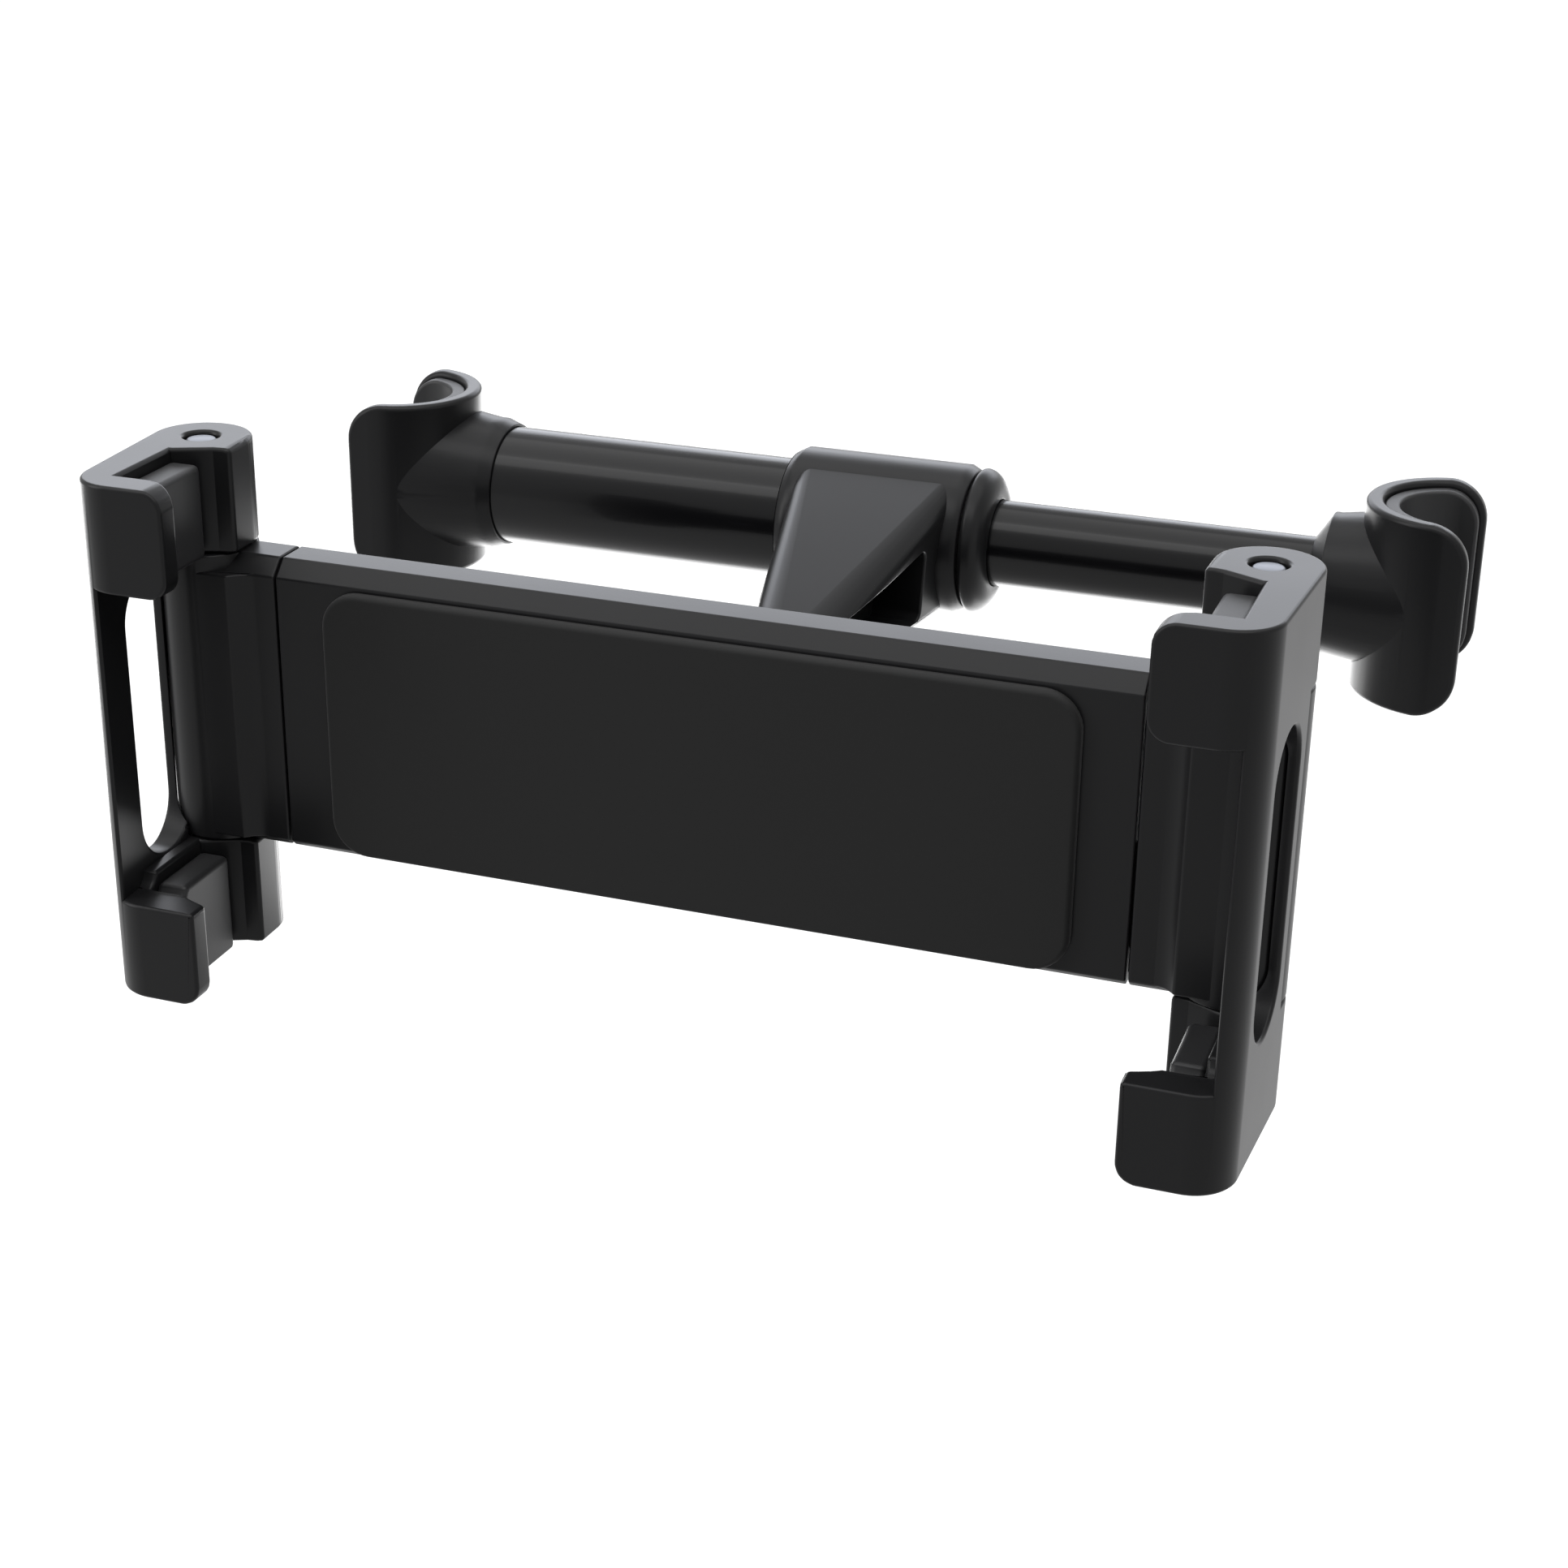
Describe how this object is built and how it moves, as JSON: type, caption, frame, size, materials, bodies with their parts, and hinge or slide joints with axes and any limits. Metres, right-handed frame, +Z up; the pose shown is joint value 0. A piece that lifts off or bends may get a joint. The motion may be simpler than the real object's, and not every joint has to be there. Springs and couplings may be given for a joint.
{
  "type": "headrest tablet mount",
  "caption": "Tablet holder on a telescopic rail that hooks onto a headrest's posts, with a wedge neck, a ball joint with a lock nut, and a sprung clamp bar with folding jaws.",
  "frame": {"origin": "on the axis of the rail's tubes, midway between the centres of the headrest posts", "axes": "+X along the rail to the narrow tube's end, +Y away from the tablet to the headrest, +Z up along the posts"},
  "size_m": [0.1734, 0.1199, 0.0708],
  "materials": {
    "tube_black": "gloss black anodised",
    "satin_black": "satin",
    "soft_rubber": "matte",
    "inner_plastic": "matte",
    "steel": "brushed"
  },
  "bodies": {
    "rail": {"large_tube": "tube_black", "left_hook": "satin_black", "left_liner": "soft_rubber", "end_ring": "satin_black"},
    "extension": {"small_tube": "tube_black", "right_hook": "satin_black", "right_liner": "soft_rubber", "guide_bush": "inner_plastic"},
    "neck": {"neck": "satin_black", "collar_sleeve": "inner_plastic", "ball_stud": "steel"},
    "ball_liner": {"ball_liner": "inner_plastic"},
    "lock_nut": {"lock_nut": "satin_black"},
    "clamp": {"front_shell": "satin_black", "rear_cover": "satin_black", "face_pad": "soft_rubber", "cover_screws": "steel", "left_spring": "steel", "right_spring": "steel"},
    "left_slide": {"left_slide": "satin_black", "left_pin": "steel"},
    "right_slide": {"right_slide": "satin_black", "right_pin": "steel"},
    "left_jaw": {"left_jaw": "satin_black", "left_upper_block": "soft_rubber", "left_lower_block": "soft_rubber"},
    "right_jaw": {"right_jaw": "satin_black", "right_upper_block": "soft_rubber", "right_lower_block": "soft_rubber"}
  },
  "joints": [
    {"name": "extension_slide", "type": "slide", "parent": "rail", "child": "extension", "axis": [1, 0, 0], "range_m": [-0.036, 0.01]},
    {"name": "collar_turn", "type": "hinge", "parent": "rail", "child": "neck", "pos_m": [0, 0, 0], "axis": [1, 0, 0], "range_deg": [-45, 45]},
    {"name": "ball_tilt", "type": "hinge", "parent": "neck", "child": "ball_liner", "pos_m": [0, -0.0689, -0.0053], "axis": [1, 0, 0], "range_deg": [-15, 15]},
    {"name": "ball_swivel", "type": "hinge", "parent": "ball_liner", "child": "lock_nut", "pos_m": [0, -0.0689, -0.0053], "axis": [0, 0, 1], "range_deg": [-15, 15]},
    {"name": "clamp_turn", "type": "hinge", "parent": "lock_nut", "child": "clamp", "pos_m": [0, -0.0689, -0.0053], "axis": [0, 1, 0], "continuous": true},
    {"name": "left_slide_out", "type": "slide", "parent": "clamp", "child": "left_slide", "axis": [-1, 0, 0], "range_m": [0, 0.035], "stiffness_N_per_m": 400, "springref_m": -0.015, "deforming": ["left_spring"]},
    {"name": "right_slide_out", "type": "slide", "parent": "clamp", "child": "right_slide", "axis": [1, 0, 0], "range_m": [0, 0.035], "stiffness_N_per_m": 400, "springref_m": -0.015, "deforming": ["right_spring"]},
    {"name": "left_jaw_fold", "type": "hinge", "parent": "left_slide", "child": "left_jaw", "pos_m": [-0.07, -0.0826, -0.0053], "axis": [0, 0, 1], "range_deg": [0, 35]},
    {"name": "right_jaw_fold", "type": "hinge", "parent": "right_slide", "child": "right_jaw", "pos_m": [0.07, -0.0826, -0.0053], "axis": [0, 0, -1], "range_deg": [0, 35]}
  ]
}
